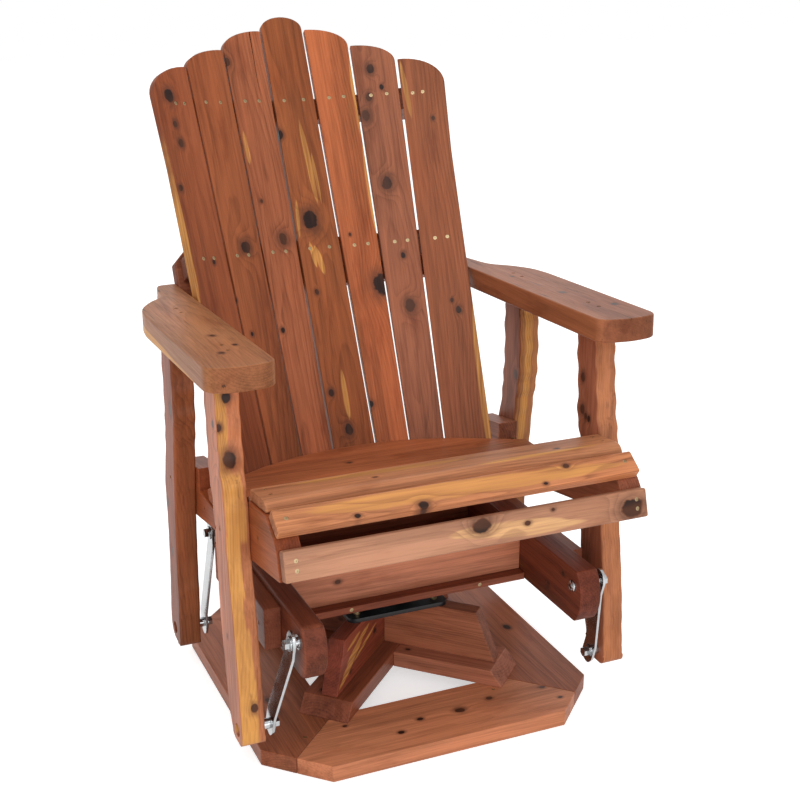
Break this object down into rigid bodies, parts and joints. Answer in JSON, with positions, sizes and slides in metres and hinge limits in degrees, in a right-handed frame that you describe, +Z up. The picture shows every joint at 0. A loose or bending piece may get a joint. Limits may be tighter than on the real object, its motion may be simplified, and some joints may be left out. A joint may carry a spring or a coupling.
{
  "type": "adirondack swivel glider",
  "caption": "Fan-back cedar armchair that glides on hanging link bars and turns on a square ring base.",
  "frame": {"origin": "middle of the bounding box's underside, on the floor under the middle of the chair", "axes": "+Z up, the sitter faces -Y, +X to the right as seen from the front"},
  "size_m": [0.746, 0.8746, 1.1114],
  "materials": {
    "cedar": "semi-gloss oiled",
    "sapwood": "semi-gloss oiled",
    "black_paint": "satin",
    "zinc": "satin",
    "brass_screws": "satin"
  },
  "bodies": {
    "base": {"ring_board_front": "cedar", "ring_board_right": "cedar", "ring_board_rear": "cedar", "ring_board_left": "cedar", "lower_cross_long_board": "cedar", "lower_cross_front_leg": "cedar", "lower_cross_rear_leg": "cedar", "upper_cross_long_board": "cedar", "upper_cross_front_leg": "sapwood", "upper_cross_rear_leg": "cedar", "base_screws": "brass_screws", "swivel_lower_plate": "black_paint", "swivel_bearing_balls": "zinc", "swivel_centre_pin": "zinc"},
    "carriage": {"swivel_upper_plate": "black_paint", "mounting_board": "cedar", "front_cross_board": "cedar", "rear_cross_board": "cedar", "left_rail": "cedar", "right_rail": "cedar", "left_rail_cheek": "cedar", "right_rail_cheek": "cedar", "carriage_screws": "brass_screws", "upper_pivot_bolts": "zinc", "upper_pivot_nuts_and_spacers": "zinc"},
    "front_links": {"left_front_link": "zinc", "right_front_link": "zinc", "front_link_bushings": "zinc"},
    "rear_links": {"left_rear_link": "zinc", "right_rear_link": "zinc", "rear_link_bushings": "zinc"},
    "seat": {"left_front_post": "cedar", "right_front_post": "cedar", "left_rear_post": "cedar", "right_rear_post": "sapwood", "left_arm": "cedar", "right_arm": "cedar", "left_seat_support": "cedar", "right_seat_support": "cedar", "front_seat_slat": "cedar", "nose_slat": "sapwood", "apron_slat": "cedar", "front_middle_seat_slat": "cedar", "rear_middle_seat_slat": "cedar", "rear_seat_board": "cedar", "back_slat_1": "cedar", "back_slat_2": "cedar", "back_slat_3": "cedar", "back_slat_4": "cedar", "back_slat_5": "cedar", "back_slat_6": "cedar", "back_slat_7": "cedar", "lower_back_rail": "cedar", "middle_back_rail": "cedar", "back_brace": "cedar", "upper_back_rail": "cedar", "seat_screws": "brass_screws", "back_screws": "brass_screws", "seat_bolts": "zinc", "lower_pivot_nuts_and_spacers": "zinc"}
  },
  "joints": [
    {"name": "swivel", "type": "hinge", "parent": "base", "child": "carriage", "pos_m": [0, -0.0569, 0.1688], "axis": [0, 0, 1], "continuous": true},
    {"name": "glide", "type": "hinge", "parent": "carriage", "child": "front_links", "pos_m": [0, -0.3549, 0.253], "axis": [1, 0, 0], "range_deg": [-12, 12]},
    {"name": "seat_on_front_links", "type": "hinge", "parent": "front_links", "child": "seat", "pos_m": [0, -0.3039, 0.0915], "axis": [1, 0, 0], "range_deg": [-14, 14]},
    {"name": "rear_links_swing", "type": "hinge", "parent": "carriage", "child": "rear_links", "pos_m": [0, 0.0806, 0.2525], "axis": [1, 0, 0], "range_deg": [-12, 12]}
  ],
  "couplings": [
    {"joint": "seat_on_front_links", "follows": "glide", "ratio": -1.1525},
    {"joint": "rear_links_swing", "follows": "glide", "ratio": 0.9442}
  ]
}
